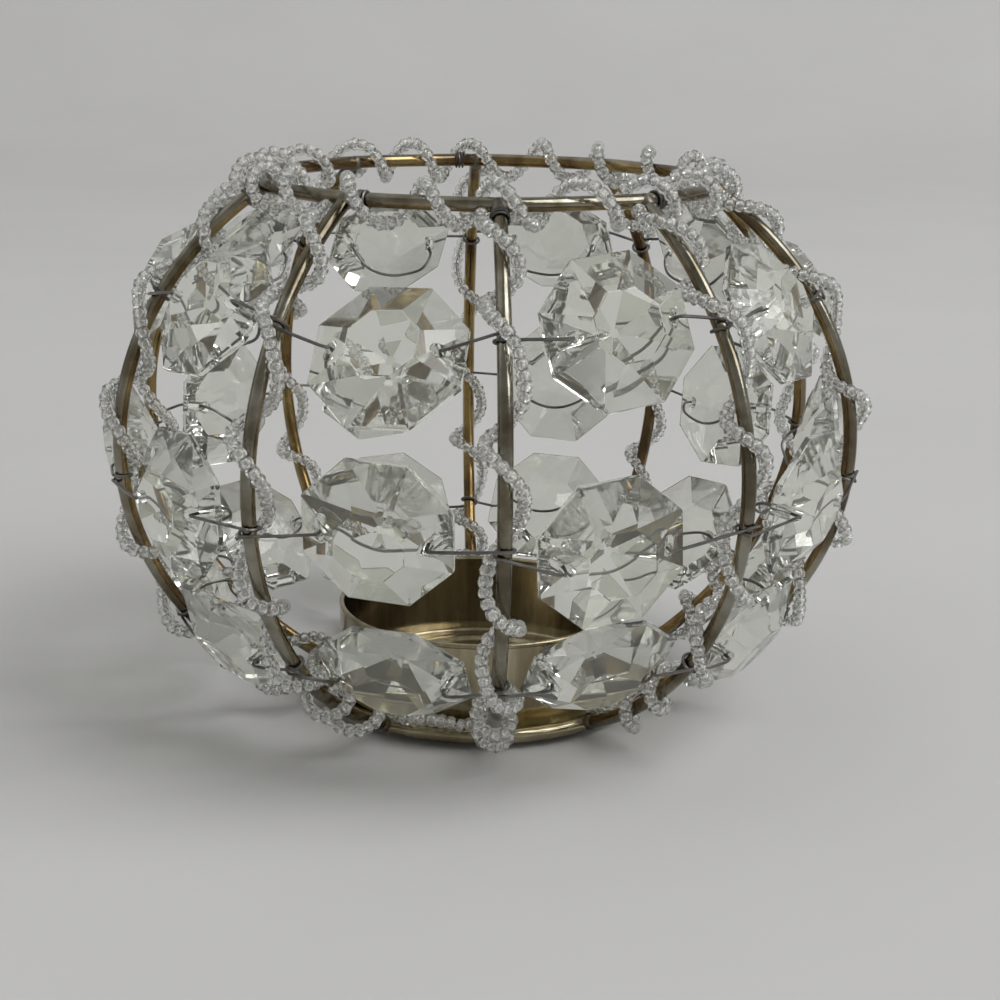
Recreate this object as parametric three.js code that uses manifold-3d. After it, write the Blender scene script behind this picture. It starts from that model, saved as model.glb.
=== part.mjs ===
// Beaded votive holder: a round cage of bent wire ribs between a top ring and a small tray, hung
// with clear octagon crystals on fine wires and wound with strands of glass seed beads.
// Millimetres, +Z up, origin at the centre of the tray's flat underside. Rib 1 faces -Y.
import * as THREE from 'three';
import { mergeVertices } from 'three/addons/utils/BufferGeometryUtils.js';
import Module from 'manifold-3d';

const wasm = await Module();
wasm.setup();

// Cage: every rib follows one ellipse, from the tray's rolled rim to the top ring
const ribCount = 10;
const cageRadius = 55; // centre line of a rib where it is widest
const cageHalfHeight = 46; // half height of the whole ellipse
const equatorHeight = 42.9;
const ribWire = 2; // wire diameter, also of the top ring
const topRingRadius = 33.5;
const solderGap = 0.3; // thickness of the solder between two pieces

// Tray and candle cup
const trayRimRadius = 25;
const trayRoll = 2.2; // diameter of the rolled rim
const trayFlatRadius = 22.4;
const traySheet = 0.9;
const cupRadius = 22;
const cupRimHeight = 14.9;
const cupWall = 0.6;
const cupFloor = 0.7;
const cupRidgeRadius = 17.5; // pressed ring in the cup's floor
const cupRidgeHeight = 0.45;

// Octagon crystals, in three rows, each threaded by two holes
const crystalWidth = 20; // across flats
const crystalThickness = 8;
const crystalTable = 0.46; // front table's share of the width
const crystalCulet = 0.06; // the blunted point behind, as a share of the width
const crystalGirdle = 0.8;
const crystalHole = 1.8; // diameter
const crystalHoleInset = 3; // hole's centre from the flat edge

// Stringing wires
const threadWire = 0.45; // diameter
const threadWrapRise = 1.1; // how far one turn round a rib climbs
const threadClearance = 0.42; // from a crystal's back to the wire's centre, less the wire's radius
const threadSag = 3.2; // how far the wire droops behind a crystal
const threadDroop = [0.72, 0.35, 0]; // places along the droop, as shares of a hole's distance from the middle
const threadLead = 1.4; // how far beside a hole's centre the wire comes in
const threadSlant = 0.1; // how far off a hole's centre the wire is at the hole's two ends

// Rows, at degrees above the cage's equator. No two crystals hang alike: for each one, how far it
// lies right of and above the middle of its space, in mm, and how far it is turned clockwise and
// leans back, in degrees
const rows = [
  {
    name: 'top',
    angle: 28,
    hang: [
      [0.3, 0.2, -7, -12], [0, 0, 3, -4], [0.5, -0.5, 5, 4], [-0.4, 0.3, -3, -6], [0.2, 0, 4, 3],
      [0, -0.4, -5, -4], [-0.6, 0.2, 3, 6], [0.4, 0, -4, -3], [0, 0.3, -4, 3], [0, -3.2, -2, 6],
    ],
  },
  {
    name: 'middle',
    angle: -5,
    hang: [
      [-2.4, -1.5, -6, -1], [0.8, -0.4, 4, -5], [0.6, 0.3, -5, 3], [-0.8, 0, 6, -4], [0.4, -0.5, -3, 6],
      [0.9, 0.2, 4, -3], [-0.7, 0, -6, 4], [0.5, 0.4, 3, -6], [-0.5, -0.3, -3, 5], [0.4, 1.1, 3, -7],
    ],
  },
  {
    name: 'lower',
    angle: -33,
    hang: [
      [0, 1.2, -2, -2], [0, 0.2, 1, 2], [0, 0, -2, -1], [0, 0, 2, 1], [0, 0.2, -1, -2],
      [0, 0, 2, 1], [0, 0, -2, -1], [0, 0.2, 1, 2], [0, 0, -2, -1], [0, 0.6, 2, -2],
    ],
  },
];

// Seed bead strands
const strandDiameter = 2;
const ribStrandRadius = 2.4; // from the rib's centre line to the strand's
const ribStrandOverWire = 3.45; // the same where it passes over a row's wire
const ribStrandSwell = 4; // length on each side of a wire in which it moves out
const ribStrandTurns = [1.25, 1.5, 1.5, 2.5]; // top end to row to row to row to foot
const ribStrandEase = 0.45; // share by which it winds more steeply at a wire and more closely between two
const ringStrandRadius = 2.6;
const ringStrandTurnsPerRib = 2;
const ringStrandShift = 1.5; // keeps the strand off the rib ends
const crossingLean = 60; // a strand crosses to the next rib so many degrees up the rolled rim's outside
const crossingClear = 3.5; // from the crossing's ends to the ribs' centre lines
const crossingLift = 0.5; // rise in the middle

// Roundness of the faceted solids
const ribSides = 8;
const ribSteps = 13;
const ringSteps = 30;
const latheSteps = 30;
const rollSteps = 7;
const turnSteps = 8;
const crossingSteps = 6;
const strandSides = 5;
const threadSides = 4;
const holeSides = 6;

const degree = Math.PI / 180;
const ribPitch = (2 * Math.PI) / ribCount;
const up = new THREE.Vector3(0, 0, 1);

// The ellipse, in the front rib's plane, where outward is -Y
const rimAngle = (radius) => Math.acos(radius / cageRadius);
const topAngle = rimAngle(topRingRadius);
const footAngle = -rimAngle(trayRimRadius);
const ellipseHeight = (angle) => equatorHeight + cageHalfHeight * Math.sin(angle);
const ellipseSpeed = (angle) => Math.hypot(cageRadius * Math.sin(angle), cageHalfHeight * Math.cos(angle));
const normalTilt = (angle) => Math.atan2(Math.sin(angle) / cageHalfHeight, Math.cos(angle) / cageRadius);
const outwardAt = (tilt) => new THREE.Vector3(0, -Math.cos(tilt), Math.sin(tilt));
const upwardAt = (tilt) => new THREE.Vector3(0, Math.sin(tilt), Math.cos(tilt));

function ellipsePoint(angle) {
  return new THREE.Vector3(0, -cageRadius * Math.cos(angle), ellipseHeight(angle));
}

// The ellipse angle that lies a given length short of the top ring's or the tray rim's centre
const belowTop = (length) => topAngle - length / ellipseSpeed(topAngle);
const aboveFoot = (length) => footAngle + length / ellipseSpeed(footAngle);

class RibCurve extends THREE.Curve {
  getPoint(t) {
    const start = aboveFoot(trayRoll / 2 + solderGap);
    const end = belowTop(ribWire / 2 + solderGap);
    return ellipsePoint(THREE.MathUtils.lerp(start, end, t));
  }
}

// A round tube through stations, each a centre and a direction that the section keeps in line with
function tubeThrough(stations, diameter, sides, closed) {
  const count = stations.length;
  const positions = [];
  const indices = [];
  const stationAt = (i) => stations[closed ? (i + count) % count : THREE.MathUtils.clamp(i, 0, count - 1)];
  stations.forEach(({ centre, side }, i) => {
    const along = stationAt(i + 1).centre.clone().sub(stationAt(i - 1).centre).normalize();
    const across = side.clone().addScaledVector(along, -side.dot(along)).normalize();
    const third = along.clone().cross(across);
    for (let j = 0; j < sides; j += 1) {
      const turn = (2 * Math.PI * j) / sides;
      const point = centre.clone();
      point.addScaledVector(across, (diameter / 2) * Math.cos(turn));
      point.addScaledVector(third, (diameter / 2) * Math.sin(turn));
      positions.push(...point);
    }
  });
  const lengths = closed ? count : count - 1;
  for (let i = 0; i < lengths; i += 1) {
    const here = i * sides;
    const next = ((i + 1) % count) * sides;
    for (let j = 0; j < sides; j += 1) {
      const k = (j + 1) % sides;
      indices.push(here + j, here + k, next + j, here + k, next + k, next + j);
    }
  }
  if (!closed) {
    const last = (count - 1) * sides;
    for (let j = 1; j < sides - 1; j += 1) {
      indices.push(0, j + 1, j, last, last + j, last + j + 1);
    }
  }
  const geometry = new THREE.BufferGeometry();
  geometry.setAttribute('position', new THREE.Float32BufferAttribute(positions, 3));
  geometry.setIndex(indices);
  geometry.computeVertexNormals();
  return geometry;
}

// Least gap between two stretches of one tube that lie half a turn or more apart along it
function leastGap(stations, diameter, closed) {
  const count = stations.length;
  let least = Infinity;
  for (let i = 0; i < count; i += 1) {
    for (let j = i + turnSteps / 2; j < count; j += 1) {
      const round = closed ? Math.min(j - i, count - j + i) : j - i;
      if (round >= turnSteps / 2) {
        least = Math.min(least, stations[i].centre.distanceTo(stations[j].centre));
      }
    }
  }
  return least - diameter;
}

function printGap(name, stations, diameter, closed) {
  console.log(`${name}: least gap to itself ${leastGap(stations, diameter, closed).toFixed(2)} mm`);
}

// Joining and cutting
const weldDistance = 1e-4;

function solidOf(geometry) {
  const bare = geometry.clone();
  Object.keys(bare.attributes).filter((name) => name !== 'position').forEach((name) => bare.deleteAttribute(name));
  const merged = mergeVertices(bare, weldDistance);
  const corners = merged.index.array;
  const triangles = [];
  for (let i = 0; i < corners.length; i += 3) {
    const [a, b, c] = corners.slice(i, i + 3);
    if (a !== b && b !== c && c !== a) {
      triangles.push(a, b, c);
    }
  }
  return new wasm.Manifold(new wasm.Mesh({
    numProp: 3,
    vertProperties: new Float32Array(merged.attributes.position.array),
    triVerts: new Uint32Array(triangles),
  }));
}

function geometryOf(solid) {
  const mesh = solid.getMesh();
  const geometry = new THREE.BufferGeometry();
  geometry.setAttribute('position', new THREE.Float32BufferAttribute(mesh.vertProperties, 3));
  geometry.setIndex(Array.from(mesh.triVerts));
  geometry.computeVertexNormals();
  return geometry;
}

function turned(profile, steps) {
  const points = profile.map(([radius, height]) => new THREE.Vector2(radius, height));
  return new THREE.LatheGeometry(points, steps).rotateX(Math.PI / 2);
}

// Rib and top ring
function ribGeometry() {
  const section = new THREE.Shape();
  for (let j = 0; j < ribSides; j += 1) {
    const turn = (2 * Math.PI * j) / ribSides;
    const corner = [(ribWire / 2) * Math.cos(turn), (ribWire / 2) * Math.sin(turn)];
    if (j === 0) {
      section.moveTo(...corner);
    } else {
      section.lineTo(...corner);
    }
  }
  section.closePath();
  return new THREE.ExtrudeGeometry(section, { steps: ribSteps, extrudePath: new RibCurve() });
}

function topRingGeometry() {
  const ring = new THREE.TorusGeometry(topRingRadius, ribWire / 2, ribSides, ringSteps);
  return ring.translate(0, 0, ellipseHeight(topAngle));
}

// Tray: a shallow flat-bottomed pan with a rolled rim that carries the rib feet
function trayGeometry() {
  const rollHeight = ellipseHeight(footAngle);
  const rollJoin = 145 * degree; // where the sheet runs into the roll
  const profile = [[0, 0], [trayFlatRadius, 0]];
  for (let i = 0; i <= rollSteps; i += 1) {
    const turn = THREE.MathUtils.lerp(-rollJoin, rollJoin, i / rollSteps);
    profile.push([
      trayRimRadius + (trayRoll / 2) * Math.cos(turn),
      rollHeight + (trayRoll / 2) * Math.sin(turn),
    ]);
  }
  profile.push([trayFlatRadius, traySheet], [0, traySheet]);
  return turned(profile, latheSteps);
}

// Candle cup: a straight-walled pan with a ring pressed into its floor
function cupGeometry() {
  const under = traySheet + solderGap;
  const floor = under + cupFloor;
  const inner = cupRadius - cupWall;
  const ridge = cupRidgeHeight;
  return turned([
    [0, under], [cupRadius, under], [cupRadius, cupRimHeight], [inner, cupRimHeight],
    [inner, floor + ridge], [inner - ridge, floor],
    [cupRidgeRadius + 2 * ridge, floor], [cupRidgeRadius + ridge / 2, floor + ridge],
    [cupRidgeRadius - ridge / 2, floor + ridge], [cupRidgeRadius - 2 * ridge, floor], [0, floor],
  ], latheSteps);
}

// Crystal: a table and eight facets in front, a girdle, eight facets to a point behind, drilled left
// and right. Its thickness runs along Y, with the front at -Y, and its holes lie on X.
const holeOffset = crystalWidth / 2 - crystalHoleInset;

function crystalGeometry() {
  const octagon = 8;
  const corner = crystalWidth / 2 / Math.cos(Math.PI / octagon);
  const half = crystalThickness / 2;
  const profile = [
    [0, -half], [corner * crystalTable, -half], [corner, -crystalGirdle / 2],
    [corner, crystalGirdle / 2], [corner * crystalCulet, half], [0, half],
  ].map(([radius, height]) => new THREE.Vector2(radius, height));
  let crystal = solidOf(new THREE.LatheGeometry(profile, octagon, Math.PI / octagon));
  for (const hand of [-1, 1]) {
    const drill = new THREE.CylinderGeometry(crystalHole / 2, crystalHole / 2, 2 * crystalThickness, holeSides);
    crystal = crystal.subtract(solidOf(drill.translate(hand * holeOffset, 0, 0)));
  }
  return geometryOf(crystal);
}

// Depth of a crystal's front at a distance from its centre, towards a flat edge
function crystalFrontDepth(distance) {
  const tableEdge = (crystalWidth / 2) * crystalTable;
  const share = (distance - tableEdge) / (crystalWidth / 2 - tableEdge);
  return THREE.MathUtils.lerp(crystalThickness / 2, crystalGirdle / 2, THREE.MathUtils.clamp(share, 0, 1));
}

// A crystal's place in its space between two ribs, before it is turned round to that space
function crystalPlace(row, k) {
  const angle = row.angle * degree;
  const [aside, lift, roll, lean] = row.hang[k];
  const radius = cageRadius * Math.cos(angle) * Math.cos(ribPitch / 2);
  const place = new THREE.Object3D();
  place.position.set(aside, -radius, ellipseHeight(angle) + lift);
  place.rotation.set(-normalTilt(angle) - lean * degree, roll * degree, 0);
  place.updateMatrix();
  return place;
}

// One row's wire: a full turn round each rib, then in by a crystal's left hole, drooping behind it
// and out by its right hole, ten times round, closed on itself
function threadStations(row) {
  const angle = row.angle * degree;
  const tilt = normalTilt(angle);
  const wrapRadius = ribWire / 2 + solderGap + threadWire / 2;
  const back = crystalThickness / 2 + threadClearance + threadWire / 2;
  const mouth = crystalFrontDepth(holeOffset);
  const halfPath = [ // across, outward and up from the crystal's centre
    [holeOffset + threadLead, mouth + threadWire, 0],
    [holeOffset + threadSlant, mouth - threadWire, 0],
    [holeOffset - threadSlant, -mouth, 0],
    ...threadDroop.map((share) => [holeOffset * share, -back, -threadSag * (1 - share ** 2)]),
  ];
  const crossing = [
    ...halfPath.map(([x, depth, rise]) => [-x, depth, rise]),
    ...halfPath.slice(0, -1).reverse(),
  ];
  const stations = [];
  for (let k = 0; k < ribCount; k += 1) {
    for (let i = 0; i <= turnSteps; i += 1) {
      const turn = (2 * Math.PI * i) / turnSteps;
      const centre = ellipsePoint(angle);
      centre.addScaledVector(outwardAt(tilt), wrapRadius * Math.cos(turn));
      centre.x += wrapRadius * Math.sin(turn);
      centre.addScaledVector(upwardAt(tilt), threadWrapRise * (0.5 - i / turnSteps));
      stations.push({ centre: centre.applyAxisAngle(up, k * ribPitch), side: up });
    }
    const { matrix } = crystalPlace(row, k);
    for (const [x, depth, rise] of crossing) {
      const centre = new THREE.Vector3(x, -depth, rise).applyMatrix4(matrix);
      stations.push({ centre: centre.applyAxisAngle(up, (k + 0.5) * ribPitch), side: up });
    }
  }
  return stations;
}

// A rib's strand: a helix round the rib that swells over each row's wire, and whose two ends run
// straight at the ring and the rim
function ribStrandStations() {
  const straight = strandDiameter;
  const ringSeat = ribWire / 2 + solderGap;
  const rimSeat = trayRoll / 2 + solderGap;
  const angles = [
    belowTop(ringSeat + straight), ...rows.map((row) => row.angle * degree), aboveFoot(rimSeat + straight),
  ];
  const stations = [];
  const radiusAt = (angle) => {
    const toWire = Math.min(...rows.map((row) => Math.abs(angle - row.angle * degree))) * ellipseSpeed(angle);
    const swell = Math.cos((Math.PI / 2) * Math.min(toWire / ribStrandSwell, 1)) ** 2;
    return THREE.MathUtils.lerp(ribStrandRadius, ribStrandOverWire, swell);
  };
  const add = (angle, turns) => {
    const side = outwardAt(normalTilt(angle)).multiplyScalar(Math.cos(2 * Math.PI * turns));
    side.x = Math.sin(2 * Math.PI * turns);
    stations.push({ centre: ellipsePoint(angle).addScaledVector(side, radiusAt(angle)), side });
  };
  let turns = -ribStrandTurns[0];
  add(belowTop(ringSeat), turns);
  ribStrandTurns.forEach((span, i) => {
    const steps = Math.round(span * turnSteps);
    for (let step = i === 0 ? 0 : 1; step <= steps; step += 1) {
      const share = step / steps;
      const eased = share + (ribStrandEase * Math.sin(2 * Math.PI * share)) / (2 * Math.PI);
      add(THREE.MathUtils.lerp(angles[i], angles[i + 1], eased), turns + span * share);
    }
    turns += span;
  });
  add(aboveFoot(rimSeat), turns);
  return stations;
}

// The top ring's strand winds round the ring and passes every rib on the far side of the ring
function ringStrandStations() {
  const tilt = normalTilt(topAngle);
  const turns = ringStrandTurnsPerRib * ribCount;
  const steps = turns * turnSteps;
  const stations = [];
  for (let i = 0; i < steps; i += 1) {
    const around = (2 * Math.PI * i) / steps;
    const turn = turns * (around + ringStrandShift / topRingRadius);
    const side = upwardAt(tilt).multiplyScalar(Math.cos(turn)).addScaledVector(outwardAt(tilt), Math.sin(turn));
    const centre = ellipsePoint(topAngle).addScaledVector(side, ringStrandRadius);
    stations.push({ centre: centre.applyAxisAngle(up, around), side: side.applyAxisAngle(up, around) });
  }
  return stations;
}

// Between the feet of two ribs the strand lies on the tray's rolled rim
function crossingStations() {
  const offset = trayRoll / 2 + solderGap + strandDiameter / 2;
  const radius = trayRimRadius + offset * Math.cos(crossingLean * degree);
  const height = ellipseHeight(footAngle) + offset * Math.sin(crossingLean * degree);
  const end = crossingClear / radius;
  return Array.from({ length: crossingSteps + 1 }, (_, i) => {
    const share = i / crossingSteps;
    const lift = crossingLift * Math.sin(Math.PI * share);
    const around = THREE.MathUtils.lerp(end, ribPitch - end, share);
    const centre = new THREE.Vector3(0, -radius, height + lift);
    return { centre: centre.applyAxisAngle(up, around), side: up };
  });
}

// A strand goes down one rib, across to the next one and up that
function pairStrandStations() {
  const nextRib = ribStrandStations().map(({ centre, side }) => ({
    centre: centre.applyAxisAngle(up, ribPitch),
    side: side.applyAxisAngle(up, ribPitch),
  }));
  return [...ribStrandStations(), ...crossingStations(), ...nextRib.reverse()];
}

const finishes = {
  agedWire: { color: 0x8d7f63, roughness: 0.36, metalness: 1 },
  agedBrass: { color: 0x83714d, roughness: 0.38, metalness: 1 },
  threadWire: { color: 0x6f6d66, roughness: 0.4, metalness: 1 },
  crystal: { color: 0xf1f5f6, roughness: 0.03, metalness: 0 },
  seedBeads: { color: 0xe6e9e6, roughness: 0.12, metalness: 0 },
};

function piece(name, geometry, finish) {
  const mesh = new THREE.Mesh(geometry, new THREE.MeshStandardMaterial(finishes[finish]));
  mesh.name = name;
  return mesh;
}

const holder = new THREE.Group();
holder.add(piece('base_tray', trayGeometry(), 'agedBrass'));
holder.add(piece('candle_cup', cupGeometry(), 'agedBrass'));
holder.add(piece('top_ring', topRingGeometry(), 'agedWire'));

const ringStrand = ringStrandStations();
holder.add(piece('top_ring_strand', tubeThrough(ringStrand, strandDiameter, strandSides, true), 'seedBeads'));
printGap('top_ring_strand', ringStrand, strandDiameter, true);

const pairStrand = pairStrandStations();
const pairStrandTube = tubeThrough(pairStrand, strandDiameter, strandSides, false);
printGap('rib strands', pairStrand, strandDiameter, false);
for (let pair = 0; pair < ribCount / 2; pair += 1) {
  const strand = piece(`rib_strand_${String(pair + 1).padStart(2, '0')}`, pairStrandTube, 'seedBeads');
  strand.rotation.z = (2 * pair - 1) * ribPitch;
  holder.add(strand);
}

const rib = ribGeometry();
for (let k = 0; k < ribCount; k += 1) {
  const wire = piece(`rib_${String(k + 1).padStart(2, '0')}`, rib, 'agedWire');
  wire.rotation.z = k * ribPitch;
  holder.add(wire);
}

const crystal = crystalGeometry();
for (const row of rows) {
  const stations = threadStations(row);
  holder.add(piece(`${row.name}_row_wire`, tubeThrough(stations, threadWire, threadSides, true), 'threadWire'));
  printGap(`${row.name}_row_wire`, stations, threadWire, true);
  for (let k = 0; k < ribCount; k += 1) {
    const number = String(k + 1).padStart(2, '0');
    const place = new THREE.Group();
    place.rotation.z = (k + 0.5) * ribPitch;
    const octagon = piece(`${row.name}_crystal_${number}`, crystal, 'crystal');
    const { position, rotation } = crystalPlace(row, k);
    octagon.position.copy(position);
    octagon.rotation.copy(rotation);
    place.add(octagon);
    holder.add(place);
  }
}

export default holder;
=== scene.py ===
import math
import random

import bpy
from mathutils import Matrix, Vector


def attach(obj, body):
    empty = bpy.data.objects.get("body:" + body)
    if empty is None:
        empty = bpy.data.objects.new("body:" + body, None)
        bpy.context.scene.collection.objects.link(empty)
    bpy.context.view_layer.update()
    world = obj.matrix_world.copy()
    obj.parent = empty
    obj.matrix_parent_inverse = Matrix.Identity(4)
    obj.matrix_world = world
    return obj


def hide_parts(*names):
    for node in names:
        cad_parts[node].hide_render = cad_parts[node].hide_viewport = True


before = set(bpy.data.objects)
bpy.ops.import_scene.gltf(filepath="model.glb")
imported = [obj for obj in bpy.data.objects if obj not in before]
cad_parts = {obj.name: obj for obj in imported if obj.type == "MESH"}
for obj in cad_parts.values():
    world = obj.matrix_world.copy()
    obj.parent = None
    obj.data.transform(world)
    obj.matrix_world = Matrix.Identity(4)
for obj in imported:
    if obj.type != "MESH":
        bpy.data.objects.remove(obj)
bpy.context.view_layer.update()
mm = 0.001  # the sizes below are in millimetres, Blender works in metres
random.seed(9)
print("frame loaded:", len(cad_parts), "nodes")


# The cage's own curve: every rib lies on one ellipse, in a plane through the axis
cage = {
    "ribs": 10,
    "radius": 55.0,  # rib centre line at its widest
    "halfHeight": 46.0,
    "equator": 42.9,
    "wire": 2.0,
    "topRingRadius": 33.5,
    "trayRimRadius": 25.0,
    "trayRoll": 2.2,
}
# Rows in degrees above the equator, and for each crystal how far it lies right of and above the
# middle of its space, in mm, and how far it is turned clockwise and leans back, in degrees
rows = (
    ("top", 28.0, (
        (0.3, 0.2, -7, -12), (0, 0, 3, -4), (0.5, -0.5, 5, 4), (-0.4, 0.3, -3, -6), (0.2, 0, 4, 3),
        (0, -0.4, -5, -4), (-0.6, 0.2, 3, 6), (0.4, 0, -4, -3), (0, 0.3, -4, 3), (0, -3.2, -2, 6))),
    ("middle", -5.0, (
        (-2.4, -1.5, -6, -1), (0.8, -0.4, 4, -5), (0.6, 0.3, -5, 3), (-0.8, 0, 6, -4), (0.4, -0.5, -3, 6),
        (0.9, 0.2, 4, -3), (-0.7, 0, -6, 4), (0.5, 0.4, 3, -6), (-0.5, -0.3, -3, 5), (0.4, 1.1, 3, -7))),
    ("lower", -33.0, (
        (0, 1.2, -2, -2), (0, 0.2, 1, 2), (0, 0, -2, -1), (0, 0, 2, 1), (0, 0.2, -1, -2),
        (0, 0, 2, 1), (0, 0, -2, -1), (0, 0.2, 1, 2), (0, 0, -2, -1), (0, 0.6, 2, -2))),
)
ribPitch = 2 * math.pi / cage["ribs"]
topAngle = math.acos(cage["topRingRadius"] / cage["radius"])
footAngle = -math.acos(cage["trayRimRadius"] / cage["radius"])


def ribPoint(angle):  # in the front rib's plane, outward is -Y
    height = cage["equator"] + cage["halfHeight"] * math.sin(angle)
    return Vector((0, -cage["radius"] * math.cos(angle), height))


def ribSpeed(angle):
    return math.hypot(cage["radius"] * math.sin(angle), cage["halfHeight"] * math.cos(angle))


def tiltAt(angle):
    return math.atan2(math.sin(angle) / cage["halfHeight"], math.cos(angle) / cage["radius"])


def outwardAt(angle):
    return Vector((0, -math.cos(tiltAt(angle)), math.sin(tiltAt(angle))))


def upwardAt(angle):
    return Vector((0, math.sin(tiltAt(angle)), math.cos(tiltAt(angle))))


def belowTop(length):
    return topAngle - length / ribSpeed(topAngle)


def aboveFoot(length):
    return footAngle + length / ribSpeed(footAngle)


def turnedBy(point, angle):
    return Matrix.Rotation(angle, 3, "Z") @ point


def mix(low, high, share):
    return low + (high - low) * share


# Small helpers around the operators
smoothUnder = {"wire": 50, "spun": 35}  # degrees between faces that still look round
weldWithin = 0.005


def deselectAll():
    if bpy.context.object and bpy.context.object.mode != "OBJECT":
        bpy.ops.object.mode_set(mode="OBJECT")
    bpy.ops.object.select_all(action="DESELECT")


def pick(thing):
    deselectAll()
    thing.select_set(True)
    bpy.context.view_layer.objects.active = thing


def settle(thing):  # moves the object's place into its mesh
    pick(thing)
    bpy.ops.object.transform_apply(location=True, rotation=True, scale=True)
    return thing


def joinAll(things, name):
    deselectAll()
    for thing in things:
        thing.select_set(True)
    bpy.context.view_layer.objects.active = things[0]
    if len(things) > 1:
        bpy.ops.object.join()
    things[0].name = name
    things[0].data.name = name
    return things[0]


def bareMesh(name):  # a mesh object with nothing in it yet
    deselectAll()
    bpy.ops.mesh.primitive_circle_add(vertices=3, radius=mm)
    part = bpy.context.object
    part.name = name
    part.data.clear_geometry()
    return part


def selectFaces(thing, test):  # in edit mode, faces chosen by place and normal
    bpy.ops.object.mode_set(mode="OBJECT")
    for edge in thing.data.edges:
        edge.select = False
    for vertex in thing.data.vertices:
        vertex.select = False
    for face in thing.data.polygons:
        face.select = test(face)
    bpy.ops.object.mode_set(mode="EDIT")
    bpy.ops.mesh.select_mode(type="FACE")


def wireThrough(name, points, diameter, closed, resolution):
    deselectAll()
    bpy.ops.curve.primitive_nurbs_path_add()
    wire = bpy.context.object
    wire.name = name
    line = wire.data
    line.splines.clear()
    line.dimensions = "3D"
    spline = line.splines.new("POLY")
    spline.points.add(len(points) - 1)
    for place, point in zip(spline.points, points):
        place.co = (*(point * mm), 1)
    spline.use_cyclic_u = closed
    line.bevel_depth = diameter * mm / 2
    line.bevel_resolution = resolution
    line.use_fill_caps = not closed
    bpy.ops.object.convert(target="MESH")
    wire = bpy.context.object
    bpy.ops.object.shade_smooth_by_angle(angle=math.radians(smoothUnder["wire"]))
    return settle(wire)


def finished(piece, body, material, slot, *nodes):
    piece.data.materials.clear()
    piece.data.materials.append(material)
    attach(piece, body)
    if nodes:
        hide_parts(*nodes)
    return piece


# Camera at the photograph's view, then floor and light
view = {
    "distance": 273.25,
    "aside": 2.69,
    "height": 105.6,
    "yaw": -3.5,  # degrees
    "pitch": 15.34,
    "roll": 0.81,
    "lens": 66.3,
    "nearest": 0.01,  # metres from the camera at which its sight begins and ends
    "farthest": 20,
}


def addCamera():
    place = turnedBy(Vector((view["aside"], -view["distance"], view["height"])), math.radians(view["yaw"]))
    bpy.ops.object.camera_add(location=place * mm)
    camera = bpy.context.object
    turn = Matrix.Rotation(math.radians(view["yaw"]), 3, "Z")
    turn = turn @ Matrix.Rotation(math.radians(90 - view["pitch"]), 3, "X")
    turn = turn @ Matrix.Rotation(math.radians(view["roll"]), 3, "Z")
    camera.rotation_euler = turn.to_euler()
    camera.data.lens = view["lens"]
    camera.data.clip_start = view["nearest"]
    camera.data.clip_end = view["farthest"]
    bpy.context.scene.camera = camera


studio = {
    "depth": 1.35,  # metres from the cage to the backdrop, which curves up from the floor
    "width": 16.0,
    "near": 6.0,  # how far the floor reaches towards the camera
    "height": 2.5,
    "bend": 0.5,
    "bendSteps": 16,
    "floorColour": (0.60, 0.596, 0.592),
    "floorShade": 0.96,  # the darker clouds on the floor, against its colour
    "floorCloud": 9.0,
    "floorDetail": 4.0,
    "floorRough": 0.9,
    "floorShine": 0.1,
    "sky": ((0.0, (0.64, 0.64, 0.64)), (0.35, (0.56, 0.56, 0.55)), (0.8, (0.41, 0.41, 0.39))),  # by height
    "frontShare": 0.64,  # how bright the room is behind the camera, against behind the cage
    "frontTo": (-0.9, 0.5),  # along Y, where the front's brightness ends and the full one begins
    # name, place, width, height, power, all in metres and watts; each looks at the cage's middle
    "lamps": (
        ("leftLamp", (-0.90, 0.40, 1.30), 2.40, 2.40, 4.0),
        ("windowLamp", (1.50, -0.71, 1.75), 1.90, 2.20, 40.0),
    ),
}


def floorMaterial():
    material, shader, coords = startMaterial("paleFloor")
    cloud = textureNode(material, "ShaderNodeTexNoise", coords, Scale=studio["floorCloud"],
                        Detail=studio["floorDetail"])
    pale = studio["floorColour"]
    shade = tuple(studio["floorShade"] * c for c in pale)
    colours = rampNode(material, cloud, ((noiseSpan[0], shade), (noiseSpan[1], pale)))
    link(material, colours, shader.inputs["Base Color"])
    shader.inputs["Roughness"].default_value = studio["floorRough"]
    shader.inputs["Specular IOR Level"].default_value = studio["floorShine"]
    return material


def addBackdrop():
    deselectAll()
    bpy.ops.mesh.primitive_plane_add(size=studio["width"])
    floor = bpy.context.object
    floor.name = "floor"
    for vertex in floor.data.vertices:
        vertex.co.y = studio["depth"] if vertex.co.y > 0 else -studio["near"]
    bpy.ops.object.mode_set(mode="EDIT")
    bpy.ops.mesh.select_mode(type="EDGE")
    bpy.ops.mesh.select_all(action="DESELECT")
    bpy.ops.object.mode_set(mode="OBJECT")
    for edge in floor.data.edges:
        edge.select = all(floor.data.vertices[i].co.y > 0 for i in edge.vertices)
    bpy.ops.object.mode_set(mode="EDIT")
    bpy.ops.mesh.extrude_region_move(TRANSFORM_OT_translate={"value": (0, 0, studio["height"])})
    bpy.ops.object.mode_set(mode="OBJECT")
    sweep = floor.modifiers.new("sweep", "BEVEL")
    sweep.width = studio["bend"]
    sweep.segments = studio["bendSteps"]
    bpy.ops.object.modifier_apply(modifier=sweep.name)
    bpy.ops.object.shade_smooth()
    floor.data.materials.append(floorMaterial())


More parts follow.
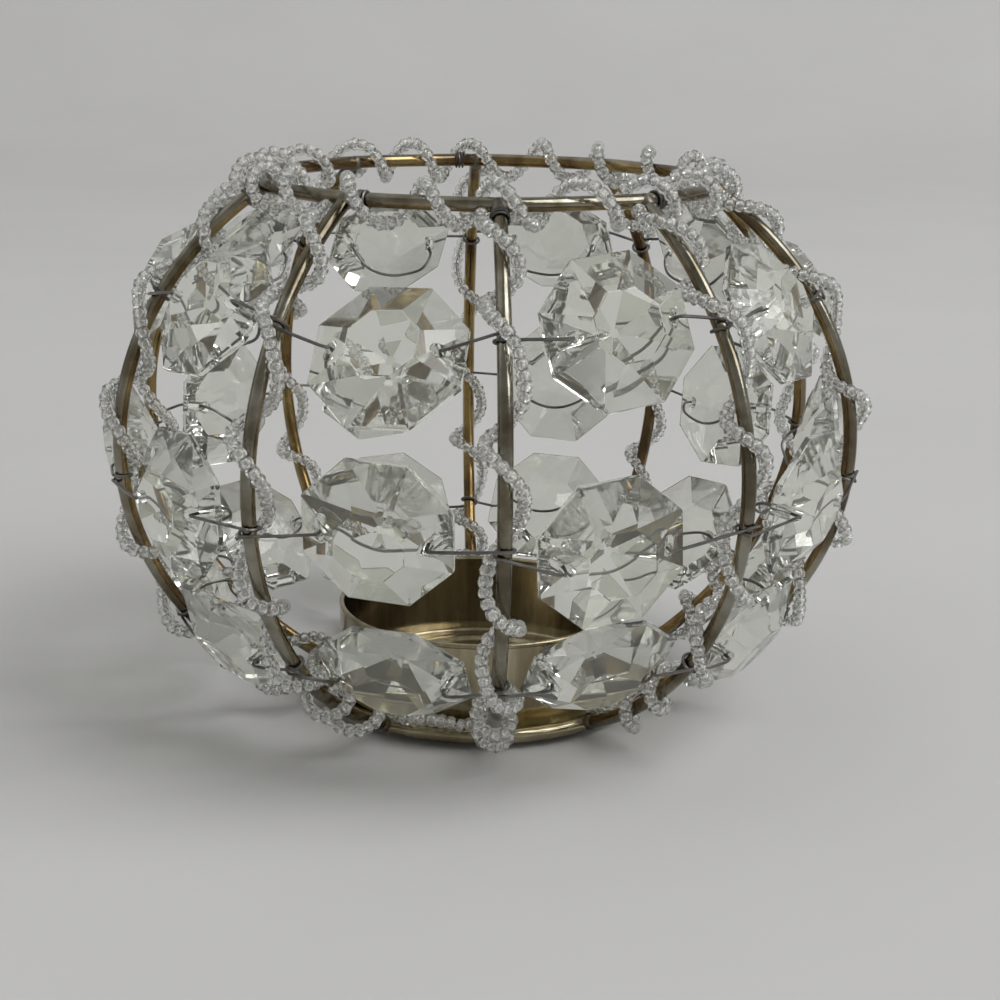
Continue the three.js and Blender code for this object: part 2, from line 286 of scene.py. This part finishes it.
def addWorld():
    world = bpy.data.worlds.new("studio")
    bpy.context.scene.world = world
    world.use_nodes = True
    nodes = world.node_tree.nodes
    links = world.node_tree.links
    direction = nodes.new("ShaderNodeTexCoord").outputs["Generated"]
    split = nodes.new("ShaderNodeSeparateXYZ")
    links.new(direction, split.inputs["Vector"])
    fade = nodes.new("ShaderNodeMapRange")
    fade.interpolation_type = "SMOOTHSTEP"
    links.new(split.outputs["Y"], fade.inputs["Value"])
    fade.inputs["From Min"].default_value = studio["frontTo"][0]
    fade.inputs["From Max"].default_value = studio["frontTo"][1]
    fade.inputs["To Min"].default_value = studio["frontShare"]
    fade.inputs["To Max"].default_value = 1.0
    links.new(fade.outputs["Result"], nodes["Background"].inputs["Strength"])
    links.new(rampNode(world, split.outputs["Z"], studio["sky"]), nodes["Background"].inputs["Color"])


def addStudio():
    addBackdrop()
    addWorld()
    target = Vector((0, 0, cage["equator"] * mm))
    for name, place, width, height, power in studio["lamps"]:
        bpy.ops.object.light_add(type="AREA", location=place)
        lamp = bpy.context.object
        lamp.name = name
        lamp.data.shape = "ELLIPSE"
        lamp.data.size = width
        lamp.data.size_y = height
        lamp.data.energy = power
        lamp.visible_camera = False
        lamp.rotation_euler = (target - Vector(place)).to_track_quat("-Z", "Y").to_euler()
    bpy.context.scene.view_settings.view_transform = "Standard"


# Materials
noiseSpan = (0.3, 0.7)  # most of a noise texture lies between these
metal = {"patchDetail": 6.0, "patchRough": 0.62, "grain": 700.0, "grainDetail": 5.0, "grainRough": 0.6,
         "bump": 0.25, "bumpDepth": 0.12}
glass = {"cloud": 260.0, "detail": 3.0, "shade": 0.97, "shadeFrom": 0.35, "shadeTo": 0.65, "rippleDepth": 0.1}


def startMaterial(name):
    material = bpy.data.materials.new(name)
    material.use_nodes = True
    nodes = material.node_tree.nodes
    coords = nodes.new("ShaderNodeTexCoord").outputs["Object"]
    return material, nodes["Principled BSDF"], coords


def link(material, start, end):
    material.node_tree.links.new(start, end)


def textureNode(material, kind, coords, **values):
    node = material.node_tree.nodes.new(kind)
    link(material, coords, node.inputs["Vector"])
    for key, value in values.items():
        node.inputs[key].default_value = value
    return node.outputs[0]


def rampNode(material, value, stops):
    node = material.node_tree.nodes.new("ShaderNodeValToRGB")
    link(material, value, node.inputs["Fac"])
    elements = node.color_ramp.elements
    while len(elements) < len(stops):
        elements.new(0.5)
    for element, (place, colour) in zip(elements, stops):
        element.position = place
        element.color = (*colour, 1)
    return node.outputs["Color"]


def rangeNode(material, value, low, high):
    node = material.node_tree.nodes.new("ShaderNodeMapRange")
    link(material, value, node.inputs["Value"])
    node.inputs["From Min"].default_value = noiseSpan[0]
    node.inputs["From Max"].default_value = noiseSpan[1]
    node.inputs["To Min"].default_value = low
    node.inputs["To Max"].default_value = high
    return node.outputs["Result"]


def bumpFrom(material, shader, value, strength, distance):
    node = material.node_tree.nodes.new("ShaderNodeBump")
    node.inputs["Strength"].default_value = strength
    node.inputs["Distance"].default_value = distance
    link(material, value, node.inputs["Height"])
    link(material, node.outputs["Normal"], shader.inputs["Normal"])


def agedMetal(name, stops, rough, patches, stretch=1.0, insideStops=None):
    material, shader, coords = startMaterial(name)
    mapping = material.node_tree.nodes.new("ShaderNodeMapping")
    mapping.inputs["Scale"].default_value = (1, 1, stretch)
    link(material, coords, mapping.inputs["Vector"])
    coords = mapping.outputs["Vector"]
    cloud = textureNode(material, "ShaderNodeTexNoise", coords, Scale=patches, Detail=metal["patchDetail"],
                        Roughness=metal["patchRough"])
    colour = rampNode(material, cloud, stops)
    if insideStops:
        inside = material.node_tree.nodes.new("ShaderNodeAttribute")
        inside.attribute_name = "inside"
        blend = material.node_tree.nodes.new("ShaderNodeMix")
        blend.data_type = "RGBA"
        link(material, inside.outputs["Fac"], blend.inputs["Factor"])
        link(material, colour, blend.inputs["A"])
        link(material, rampNode(material, cloud, insideStops), blend.inputs["B"])
        colour = blend.outputs["Result"]
    link(material, colour, shader.inputs["Base Color"])
    grain = textureNode(material, "ShaderNodeTexNoise", coords, Scale=metal["grain"],
                        Detail=metal["grainDetail"], Roughness=metal["grainRough"])
    link(material, rangeNode(material, grain, *rough), shader.inputs["Roughness"])
    bumpFrom(material, shader, grain, metal["bump"], metal["bumpDepth"] * mm)
    shader.inputs["Metallic"].default_value = 1.0
    return material


def clearGlass(name, tint, ior, rough, ripple, clear):
    material, shader, coords = startMaterial(name)
    cloud = textureNode(material, "ShaderNodeTexNoise", coords, Scale=glass["cloud"], Detail=glass["detail"])
    shade = tuple(glass["shade"] * c for c in tint)
    stops = ((glass["shadeFrom"], shade), (glass["shadeTo"], tint))
    link(material, rampNode(material, cloud, stops), shader.inputs["Base Color"])
    if rough:
        link(material, rangeNode(material, cloud, *rough), shader.inputs["Roughness"])
    else:
        shader.inputs["Roughness"].default_value = 0
    bumpFrom(material, shader, cloud, ripple, glass["rippleDepth"] * mm)
    shader.inputs["Transmission Weight"].default_value = clear
    shader.inputs["IOR"].default_value = ior
    return material


silver, bronze, soot = (0.29, 0.277, 0.23), (0.15, 0.13, 0.09), (0.06, 0.05, 0.035)
gold, brown = (0.34, 0.24, 0.10), (0.14, 0.088, 0.038)
brass, oldBrass, darkBrass = (0.51, 0.465, 0.335), (0.32, 0.277, 0.18), (0.14, 0.113, 0.067)
# Painted reflection: the cup's inner wall takes these paler, greyer brass tones in place of the outside's
paintedWallPale, paintedWallMid, paintedWallDark = (0.56, 0.505, 0.39), (0.375, 0.325, 0.23), (0.17, 0.137, 0.09)
paleSolder, darkSolder = (0.27, 0.25, 0.21), (0.12, 0.10, 0.075)
greyWire, blackWire = (0.24, 0.235, 0.225), (0.10, 0.095, 0.09)
paleWire, dullWire = (0.52, 0.51, 0.49), (0.34, 0.33, 0.31)
crystalTint, beadTint = (0.90, 0.915, 0.855), (0.97, 0.975, 0.955)
addCamera()
addStudio()
# The cage wire: patches of soot, bronze and silver, with the faces turned into the cage in soot, brown and
# gold in place of silver
cageMetal = agedMetal(
    "agedCageWireGoldInside", ((0.30, soot), (0.46, bronze), (0.60, silver), (0.75, silver)), rough=(0.08, 0.24),
    patches=85.0, insideStops=((0.30, soot), (0.46, brown), (0.62, gold)))
trayMetal = agedMetal(
    "agedTrayBrass", ((0.30, darkBrass), (0.50, oldBrass), (0.70, brass)), rough=(0.06, 0.18), patches=90.0)
# The candle cup: worn brass patches outside and on the floor, and painted reflection tones on the inner wall
cupMetal = agedMetal(
    "agedCupBrassPaintedWall", ((0.30, darkBrass), (0.50, oldBrass), (0.70, brass)), rough=(0.10, 0.24), patches=160.0,
    stretch=0.12, insideStops=((0.30, paintedWallDark), (0.50, paintedWallMid), (0.72, paintedWallPale)))
solderMetal = agedMetal(
    "dullSolder", ((0.35, darkSolder), (0.65, paleSolder)), rough=(0.3, 0.5), patches=300.0)
threadMetal = agedMetal(
    "darkThreadWire", ((0.35, blackWire), (0.65, greyWire)), rough=(0.3, 0.45), patches=240.0)
beadWireMetal = agedMetal(
    "beadWire", ((0.35, dullWire), (0.65, paleWire)), rough=(0.3, 0.45), patches=240.0)
crystalGlass = clearGlass("cutCrystal", crystalTint, ior=1.5, rough=None, ripple=0.012, clear=0.94)
beadGlass = clearGlass("seedBeadGlass", beadTint, ior=1.45, rough=(0.01, 0.05), ripple=0.05, clear=0.88)
print("camera, studio and materials ready")


# Ribs, top ring, solder and bindings
ribSettings = {"steps": 56, "resolution": 4, "footIn": 0.1, "topIn": 0.2}  # how far its ends sink in
ringSettings = {"steps": 240, "drawnIn": 0.6}  # how far the ring draws in between two ribs
solder = {"radius": 1.18, "halfLength": 1.6, "belowTop": 0.5, "aboveFoot": 0.9, "fineness": 3}


def markInside(wire):  # how far each point of a wire faces into the cage: 0 outside, 1 inside
    inside = wire.data.attributes.new("inside", "FLOAT", "POINT")
    for vertex, value in zip(wire.data.vertices, inside.data):
        place = vertex.co / mm
        across = math.hypot(place.x, place.y) / cage["radius"]
        height = (place.z - cage["equator"]) / cage["halfHeight"]
        outside = (math.hypot(across, height) - 1) * cage["radius"] / (cage["wire"] / 2)
        value.value = min(max(0.5 - outside, 0), 1)


def addRibs():
    start = aboveFoot(cage["trayRoll"] / 2 - ribSettings["footIn"])
    end = belowTop(cage["wire"] / 2 - ribSettings["topIn"])
    steps = ribSettings["steps"]
    for k in range(cage["ribs"]):
        points = [turnedBy(ribPoint(mix(start, end, i / steps)), k * ribPitch) for i in range(steps + 1)]
        number = "%02d" % (k + 1)
        rib = wireThrough("ribWire" + number, points, cage["wire"], False, ribSettings["resolution"])
        markInside(rib)
        finished(rib, "cage", cageMetal, "cage_wire", "rib_" + number)


def addTopRing():
    points = []
    for i in range(ringSettings["steps"]):
        around = 2 * math.pi * i / ringSettings["steps"]
        radius = cage["topRingRadius"] - ringSettings["drawnIn"] * (1 - math.cos(cage["ribs"] * around)) / 2
        points.append(turnedBy(Vector((0, -radius, ribPoint(topAngle).z)), around))
    ring = wireThrough("topRingWire", points, cage["wire"], True, ribSettings["resolution"])
    markInside(ring)
    finished(ring, "cage", cageMetal, "cage_wire", "top_ring")


def addSolder():
    blobs = []
    for angle in (belowTop(solder["belowTop"]), aboveFoot(solder["aboveFoot"])):
        for k in range(cage["ribs"]):
            deselectAll()
            bpy.ops.mesh.primitive_ico_sphere_add(
                subdivisions=solder["fineness"], radius=solder["radius"] * mm)
            blob = bpy.context.object
            along = upwardAt(angle).to_track_quat("Z", "Y").to_matrix().to_4x4()
            stretch = Matrix.Diagonal((1, 1, solder["halfLength"] / solder["radius"], 1))
            turn = Matrix.Rotation(k * ribPitch, 4, "Z")
            blob.data.transform(turn @ Matrix.Translation(ribPoint(angle) * mm) @ along @ stretch)
            bpy.ops.object.shade_smooth()
            blobs.append(blob)
    finished(joinAll(blobs, "solderJoints"), "cage", solderMetal, "cage_wire")


# Fine wire, wound on the ring beside one rib and round the next one's top
bindings = {"turns": 3, "wire": 0.34, "pitch": 0.5, "beside": 1.9, "below": 1.7, "gap": 0.03, "steps": 14,
            "resolution": 1}


def addBindings():
    coils = []
    radius = cage["wire"] / 2 + bindings["wire"] / 2 + bindings["gap"]
    steps = bindings["turns"] * bindings["steps"]
    for k in range(cage["ribs"]):
        points = []
        for i in range(steps + 1):
            turn = 2 * math.pi * bindings["turns"] * i / steps
            along = bindings["pitch"] * bindings["turns"] * i / steps
            outward = outwardAt(topAngle) * math.sin(turn)
            if k % 2:
                place = ribPoint(topAngle) + (upwardAt(topAngle) * math.cos(turn) + outward) * radius
                place = turnedBy(place, (bindings["beside"] + along) / cage["topRingRadius"])
            else:
                place = ribPoint(belowTop(bindings["below"] + along))
                place = place + (Vector((math.cos(turn), 0, 0)) + outward) * radius
            points.append(turnedBy(place, k * ribPitch))
        name = "binding%02d" % (k + 1)
        coils.append(wireThrough(name, points, bindings["wire"], False, bindings["resolution"]))
    finished(joinAll(coils, "ribBindings"), "cage", threadMetal, "thread_wire")


addRibs()
addTopRing()
addSolder()
addBindings()
print("ribs, top ring, solder and bindings made")


# Tray and candle cup, spun from their profiles
tray = {"flat": 22.4, "sheet": 0.9, "edge": 0.6, "lift": 0.08, "inset": 0.1, "rollOpen": 145, "rollSteps": 22,
        "steps": 128}
cup = {"radius": 22.0, "rim": 14.9, "wall": 0.6, "floor": 0.7, "under": 1.2, "bend": 0.6, "bendSteps": 5,
       "lip": 0.42, "lipFrom": -45, "lipTo": 225, "lipSteps": 12, "ridgeRadius": 17.5, "ridge": 0.8,
       "ridgeWidth": 4.2, "ridgeSteps": 12, "steps": 128}


def spun(name, profile, steps):
    part = bareMesh(name)
    places = [(0, -radius * mm, height * mm) for radius, height in profile]
    part.data.from_pydata(places, [(i, i + 1) for i in range(len(places) - 1)], [])
    bpy.ops.object.mode_set(mode="EDIT")
    bpy.ops.mesh.select_all(action="SELECT")
    bpy.ops.mesh.spin(steps=steps, angle=2 * math.pi, center=(0, 0, 0), axis=(0, 0, 1))
    bpy.ops.mesh.select_all(action="SELECT")
    bpy.ops.mesh.remove_doubles(threshold=weldWithin * mm)
    bpy.ops.mesh.normals_make_consistent(inside=False)
    bpy.ops.object.mode_set(mode="OBJECT")
    bpy.ops.object.shade_smooth_by_angle(angle=math.radians(smoothUnder["spun"]))
    return settle(part)


def arc(centre, radius, start, end, steps):
    turns = [math.radians(mix(start, end, i / steps)) for i in range(steps + 1)]
    return [(centre[0] + radius * math.cos(t), centre[1] + radius * math.sin(t)) for t in turns]


def addTray():
    roll = (cage["trayRimRadius"], ribPoint(footAngle).z)
    inner = tray["flat"] - tray["inset"]
    profile = [(0, 0), (tray["flat"] - tray["edge"], 0), (tray["flat"], tray["lift"])]
    profile += arc(roll, cage["trayRoll"] / 2, -tray["rollOpen"], tray["rollOpen"], tray["rollSteps"])
    profile += [(inner, tray["sheet"] + tray["lift"]), (inner - tray["edge"], tray["sheet"])]
    profile.append((0, tray["sheet"]))
    finished(spun("rolledTray", profile, tray["steps"]), "cage", trayMetal, "tray_brass", "base_tray")


def addCup():
    floor = cup["under"] + cup["floor"]
    inner = cup["radius"] - cup["wall"]
    bend = cup["bend"]
    lipCentre = (cup["radius"] - cup["wall"] / 2, cup["rim"] - cup["lip"])
    profile = [(0, cup["under"])]
    profile += arc((cup["radius"] - bend, cup["under"] + bend), bend, -90, 0, cup["bendSteps"])
    profile += [(cup["radius"], cup["rim"] - 2 * cup["lip"])]
    profile += arc(lipCentre, cup["lip"], cup["lipFrom"], cup["lipTo"], cup["lipSteps"])
    profile += [(inner, cup["rim"] - 2 * cup["lip"])]
    profile += arc((inner - bend, floor + bend), bend, 0, -90, cup["bendSteps"])
    for i in range(cup["ridgeSteps"] + 1):
        share = i / cup["ridgeSteps"]
        rise = cup["ridge"] * (1 - math.cos(2 * math.pi * share)) / 2
        profile.append((cup["ridgeRadius"] + cup["ridgeWidth"] * (0.5 - share), floor + rise))
    profile.append((0, floor))
    part = spun("candleCup", profile, cup["steps"])
    # The inner wall is marked for the painted reflection tones
    wall = part.data.attributes.new("inside", "FLOAT", "POINT")  # 1 on the inner wall
    for vertex, value in zip(part.data.vertices, wall.data):
        across = math.hypot(vertex.co.x, vertex.co.y) / mm
        value.value = 1 if abs(across - inner) < cup["wall"] / 10 else 0
    finished(part, "cage", cupMetal, "tray_brass", "candle_cup")


addTray()
addCup()
print("tray and cup made")


# Octagon crystals: one is cut, drilled and edged, and the rest are copies
crystal = {"width": 20.0, "thickness": 8.0, "table": 0.46, "culet": 0.06, "girdle": 0.8, "hole": 1.8,
           "holeInset": 3.0, "holeSides": 20, "facing": 0.9, "edge": 0.09, "edgeOver": 28}


def cutCrystal():
    corner = crystal["width"] / 2 / math.cos(math.pi / 8) * mm
    deselectAll()
    bpy.ops.mesh.primitive_cylinder_add(vertices=8, radius=corner, depth=crystal["girdle"] * mm)
    octagon = bpy.context.object
    octagon.data.transform(Matrix.Rotation(math.pi / 8, 4, "Z"))
    crown = (crystal["thickness"] - crystal["girdle"]) / 2 * mm
    for hand, flat in ((1, crystal["table"]), (-1, crystal["culet"])):  # a table in front, a point behind
        selectFaces(octagon, lambda face: face.normal.z * hand > crystal["facing"])
        bpy.ops.mesh.extrude_region_move(TRANSFORM_OT_translate={"value": (0, 0, hand * crown)})
        bpy.ops.transform.resize(value=(flat, flat, 1))
        bpy.ops.object.mode_set(mode="OBJECT")
    for hand in (1, -1):
        drillHole(octagon, hand * (crystal["width"] / 2 - crystal["holeInset"]))
    pick(octagon)
    edging = octagon.modifiers.new("edging", "BEVEL")
    edging.width = crystal["edge"] * mm
    edging.segments = 1
    edging.limit_method = "ANGLE"
    edging.angle_limit = math.radians(crystal["edgeOver"])
    bpy.ops.object.modifier_apply(modifier=edging.name)
    return octagon


def drillHole(octagon, x):
    deselectAll()
    bpy.ops.mesh.primitive_cylinder_add(
        vertices=crystal["holeSides"], radius=crystal["hole"] / 2 * mm, depth=2 * crystal["thickness"] * mm,
        location=(x * mm, 0, 0))
    drill = settle(bpy.context.object)
    pick(octagon)
    cut = octagon.modifiers.new("hole", "BOOLEAN")
    cut.operation = "DIFFERENCE"
    cut.object = drill
    bpy.ops.object.modifier_apply(modifier=cut.name)
    bpy.data.objects.remove(drill)


def crystalPlace(degrees, hang, k):  # X along the holes, Z outward, Y up
    aside, lift, roll, lean = hang[k]
    angle = math.radians(degrees)
    point = ribPoint(angle)
    place = Vector((aside, point.y * math.cos(ribPitch / 2), point.z + lift))
    turn = Matrix.Rotation((k + 0.5) * ribPitch, 4, "Z") @ Matrix.Translation(place)
    turn = turn @ Matrix.Rotation(math.pi / 2 - tiltAt(angle) - math.radians(lean), 4, "X")
    return turn @ Matrix.Rotation(-math.radians(roll), 4, "Z")


def addCrystals():
    octagon = cutCrystal()
    for name, degrees, hang in rows:
        for k in range(cage["ribs"]):
            number = "%02d" % (k + 1)
            node = "%s_crystal_%s" % (name, number)
            copy = octagon.copy()
            copy.data = octagon.data.copy()
            copy.name = "%sCrystal%s" % (name, number)
            bpy.context.scene.collection.objects.link(copy)
            place = crystalPlace(degrees, hang, k)
            copy.data.transform(Matrix.Scale(mm, 4) @ place @ Matrix.Scale(1 / mm, 4))
            finished(copy, node, crystalGlass, "crystal", node)
    bpy.data.objects.remove(octagon)


addCrystals()
print("crystals made")


# Row wires: round each rib, in by a crystal's left hole, along its back and out by its right hole
thread = {"wire": 0.45, "wrapRise": 1.1, "wrapSteps": 20, "gap": 0.3, "clearance": 0.42, "smooth": 4,
          "sag": 3.2, "droop": (0.72, 0.35, 0), "lead": 1.4, "slant": 0.1, "resolution": 1}


def crystalFrontDepth(distance):
    tableEdge = crystal["width"] / 2 * crystal["table"]
    share = (distance - tableEdge) / (crystal["width"] / 2 - tableEdge)
    return mix(crystal["thickness"] / 2, crystal["girdle"] / 2, min(max(share, 0), 1))


def rounded(points, closed, smooth):  # a Catmull-Rom curve through the points
    count = len(points)
    out = []
    for i in range(count if closed else count - 1):
        near = [i + j if closed else min(max(i + j, 0), count - 1) for j in (-1, 0, 1, 2)]
        a, b, c, d = (points[j % count] for j in near)
        for step in range(smooth):
            t = step / smooth
            out.append(0.5 * (2 * b + (c - a) * t + (2 * a - 5 * b + 4 * c - d) * t ** 2
                              + (3 * b - a - 3 * c + d) * t ** 3))
    return out if closed else out + [points[-1]]


def addRowWires():
    holeAt = crystal["width"] / 2 - crystal["holeInset"]
    mouth = crystalFrontDepth(holeAt)
    back = crystal["thickness"] / 2 + thread["clearance"] + thread["wire"] / 2
    halfPath = [  # across, up and outward from a crystal's centre
        (holeAt + thread["lead"], 0, mouth + thread["wire"]),
        (holeAt + thread["slant"], 0, mouth - thread["wire"]),
        (holeAt - thread["slant"], 0, -mouth),
    ]
    halfPath += [(holeAt * share, -thread["sag"] * (1 - share ** 2), -back) for share in thread["droop"]]
    crossing = [Vector((-x, rise, depth)) for x, rise, depth in halfPath]
    crossing += [Vector(place) for place in reversed(halfPath[:-1])]
    wrapRadius = cage["wire"] / 2 + thread["gap"] / 3 + thread["wire"] / 2
    for name, degrees, hang in rows:
        angle = math.radians(degrees)
        points = []
        for k in range(cage["ribs"]):
            for i in range(thread["wrapSteps"] + 1):
                share = i / thread["wrapSteps"]
                turn = 2 * math.pi * share
                place = ribPoint(angle) + outwardAt(angle) * wrapRadius * math.cos(turn)
                place = place + Vector((wrapRadius * math.sin(turn), 0, 0))
                place = place + upwardAt(angle) * thread["wrapRise"] * (0.5 - share)
                points.append(turnedBy(place, k * ribPitch))
            points += [crystalPlace(degrees, hang, k) @ place for place in crossing]
        path = rounded(points, True, thread["smooth"])
        wire = wireThrough(name + "RowWire", path, thread["wire"], True, thread["resolution"])
        finished(wire, "cage", threadMetal, "thread_wire", name + "_row_wire")


addRowWires()
print("row wires made")


# Seed bead strands: fine pale wires, each strung with beads at an even pitch
bead = {"diameter": 2.1, "length": 1.32, "hole": 0.8, "pitch": 1.4, "segments": 10, "tubeSegments": 5,
        "lean": 0.12, "spin": 6.28, "small": 0.93, "large": 1.04, "wire": 0.26, "wireResolution": 1}
ribStrand = {"radius": 2.4, "overWire": 3.2, "swell": 4.0, "turns": (1.25, 1.5, 1.5, 2.5), "ease": 0.45,
             "steps": 24, "loose": 0.22, "waver": 2.3, "waverByRib": 1.7, "smooth": 2}
ringStrand = {"radius": 2.6, "turnsPerRib": 2, "shift": 1.5, "steps": 24, "loose": 0.35, "looseWaves": 13,
              "looseStart": 2, "uneven": 0.45, "unevenWaves": 7, "unevenStart": 1}
crossingStrand = {"lean": 60.0, "clear": 3.5, "lift": 0.5, "steps": 10}


def turnBead():
    ringRadius = (bead["diameter"] + bead["hole"]) / 4
    tubeRadius = (bead["diameter"] - bead["hole"]) / 4
    deselectAll()
    bpy.ops.mesh.primitive_torus_add(
        major_radius=ringRadius * mm, minor_radius=tubeRadius * mm, major_segments=bead["segments"],
        minor_segments=bead["tubeSegments"])
    one = bpy.context.object
    one.data.transform(Matrix.Diagonal((1, 1, bead["length"] / (2 * tubeRadius), 1)))
    return one


def placesAlong(points, pitch):  # places and directions at even steps along a line
    lengths = [0.0]
    for a, b in zip(points, points[1:]):
        lengths.append(lengths[-1] + (b - a).length)
    count = int(lengths[-1] / pitch)
    spacing = lengths[-1] / count
    out = []
    i = 0
    for n in range(count):
        want = (n + 0.5) * spacing
        while lengths[i + 1] < want:
            i += 1
        share = (want - lengths[i]) / (lengths[i + 1] - lengths[i])
        out.append((points[i].lerp(points[i + 1], share), (points[i + 1] - points[i]).normalized()))
    return out


def strandOfBeads(name, one, points):
    strand = bareMesh(name)
    corners = [v.co.copy() for v in one.data.vertices]
    faces = [tuple(f.vertices) for f in one.data.polygons]
    places = []
    loops = []
    for centre, along in placesAlong(points, bead["pitch"]):
        lean = along + Vector([random.uniform(-bead["lean"], bead["lean"]) for axis in range(3)])
        turn = lean.to_track_quat("Z", "Y").to_matrix()
        turn = turn @ Matrix.Rotation(random.uniform(0, bead["spin"]), 3, "Z")
        size = random.uniform(bead["small"], bead["large"])
        start = len(places)
        places += [turn @ (corner * size) + centre * mm for corner in corners]
        loops += [tuple(start + i for i in face) for face in faces]
    strand.data.from_pydata(places, [], loops)
    bpy.ops.object.shade_smooth()
    return settle(strand)


def ribStrandPoints(k):
    straight = bead["diameter"]
    ringSeat = cage["wire"] / 2 + thread["gap"]
    rimSeat = cage["trayRoll"] / 2 + thread["gap"]
    wires = [math.radians(degrees) for name, degrees, hang in rows]
    angles = [belowTop(ringSeat + straight)] + wires + [aboveFoot(rimSeat + straight)]
    points = []

    def add(angle, turns, loose):
        around = 2 * math.pi * turns
        side = outwardAt(angle) * math.cos(around) + Vector((math.sin(around), 0, 0))
        toWire = min(abs(angle - wire) for wire in wires) * ribSpeed(angle)
        swell = math.cos(math.pi / 2 * min(toWire / ribStrand["swell"], 1)) ** 2
        wave = math.sin(ribStrand["waver"] * turns + ribStrand["waverByRib"] * k)
        wander = ribStrand["loose"] * wave * loose
        radius = mix(ribStrand["radius"], ribStrand["overWire"], swell) + wander
        points.append(turnedBy(ribPoint(angle) + side * radius, k * ribPitch))

    turns = -ribStrand["turns"][0]
    add(belowTop(ringSeat), turns, 0)
    for i, span in enumerate(ribStrand["turns"]):
        steps = int(span * ribStrand["steps"])
        for step in range(1 if i else 0, steps + 1):
            share = step / steps
            eased = share + ribStrand["ease"] * math.sin(2 * math.pi * share) / (2 * math.pi)
            add(mix(angles[i], angles[i + 1], eased), turns + span * share, math.sin(math.pi * share))
        turns += span
    add(aboveFoot(rimSeat), turns, 0)
    return points


def crossingPoints(k):  # along the rolled rim, from the foot of rib k to the next one's
    offset = cage["trayRoll"] / 2 + thread["gap"] + bead["diameter"] / 2
    lean = math.radians(crossingStrand["lean"])
    radius = cage["trayRimRadius"] + offset * math.cos(lean)
    end = crossingStrand["clear"] / radius
    points = []
    for i in range(crossingStrand["steps"] + 1):
        share = i / crossingStrand["steps"]
        height = ribPoint(footAngle).z + offset * math.sin(lean)
        height += crossingStrand["lift"] * math.sin(math.pi * share)
        points.append(turnedBy(Vector((0, -radius, height)), k * ribPitch + mix(end, ribPitch - end, share)))
    return points


def pairStrandPoints(k):  # down rib k, across to the next one and up that
    points = ribStrandPoints(k) + crossingPoints(k) + ribStrandPoints(k + 1)[::-1]
    return rounded(points, False, ribStrand["smooth"])


def ringStrandPoints():
    turns = ringStrand["turnsPerRib"] * cage["ribs"]
    steps = turns * ringStrand["steps"]
    points = []
    for i in range(steps + 1):
        around = 2 * math.pi * i / steps
        turn = turns * (around + ringStrand["shift"] / cage["topRingRadius"])
        wave = math.sin(ringStrand["unevenWaves"] * around + ringStrand["unevenStart"])
        turn += ringStrand["uneven"] * wave
        side = upwardAt(topAngle) * math.cos(turn) + outwardAt(topAngle) * math.sin(turn)
        swing = math.sin(ringStrand["looseWaves"] * around + ringStrand["looseStart"])
        radius = ringStrand["radius"] + ringStrand["loose"] * (1 + swing) / 2
        points.append(turnedBy(ribPoint(topAngle) + side * radius, around))
    return points


def addStrands():
    one = turnBead()
    routes = [("topRingBeads", "top_ring_strand", ringStrandPoints())]
    for pair in range(cage["ribs"] // 2):
        number = "%02d" % (pair + 1)
        routes.append(("ribBeads" + number, "rib_strand_" + number, pairStrandPoints(2 * pair - 1)))
    wires = []
    for name, node, points in routes:
        finished(strandOfBeads(name, one, points), "cage", beadGlass, "seed_beads", node)
        wires.append(wireThrough(name + "Wire", points, bead["wire"], False, bead["wireResolution"]))
    finished(joinAll(wires, "beadWires"), "cage", beadWireMetal, "thread_wire")
    bpy.data.objects.remove(one)


addStrands()
print("bead strands made")
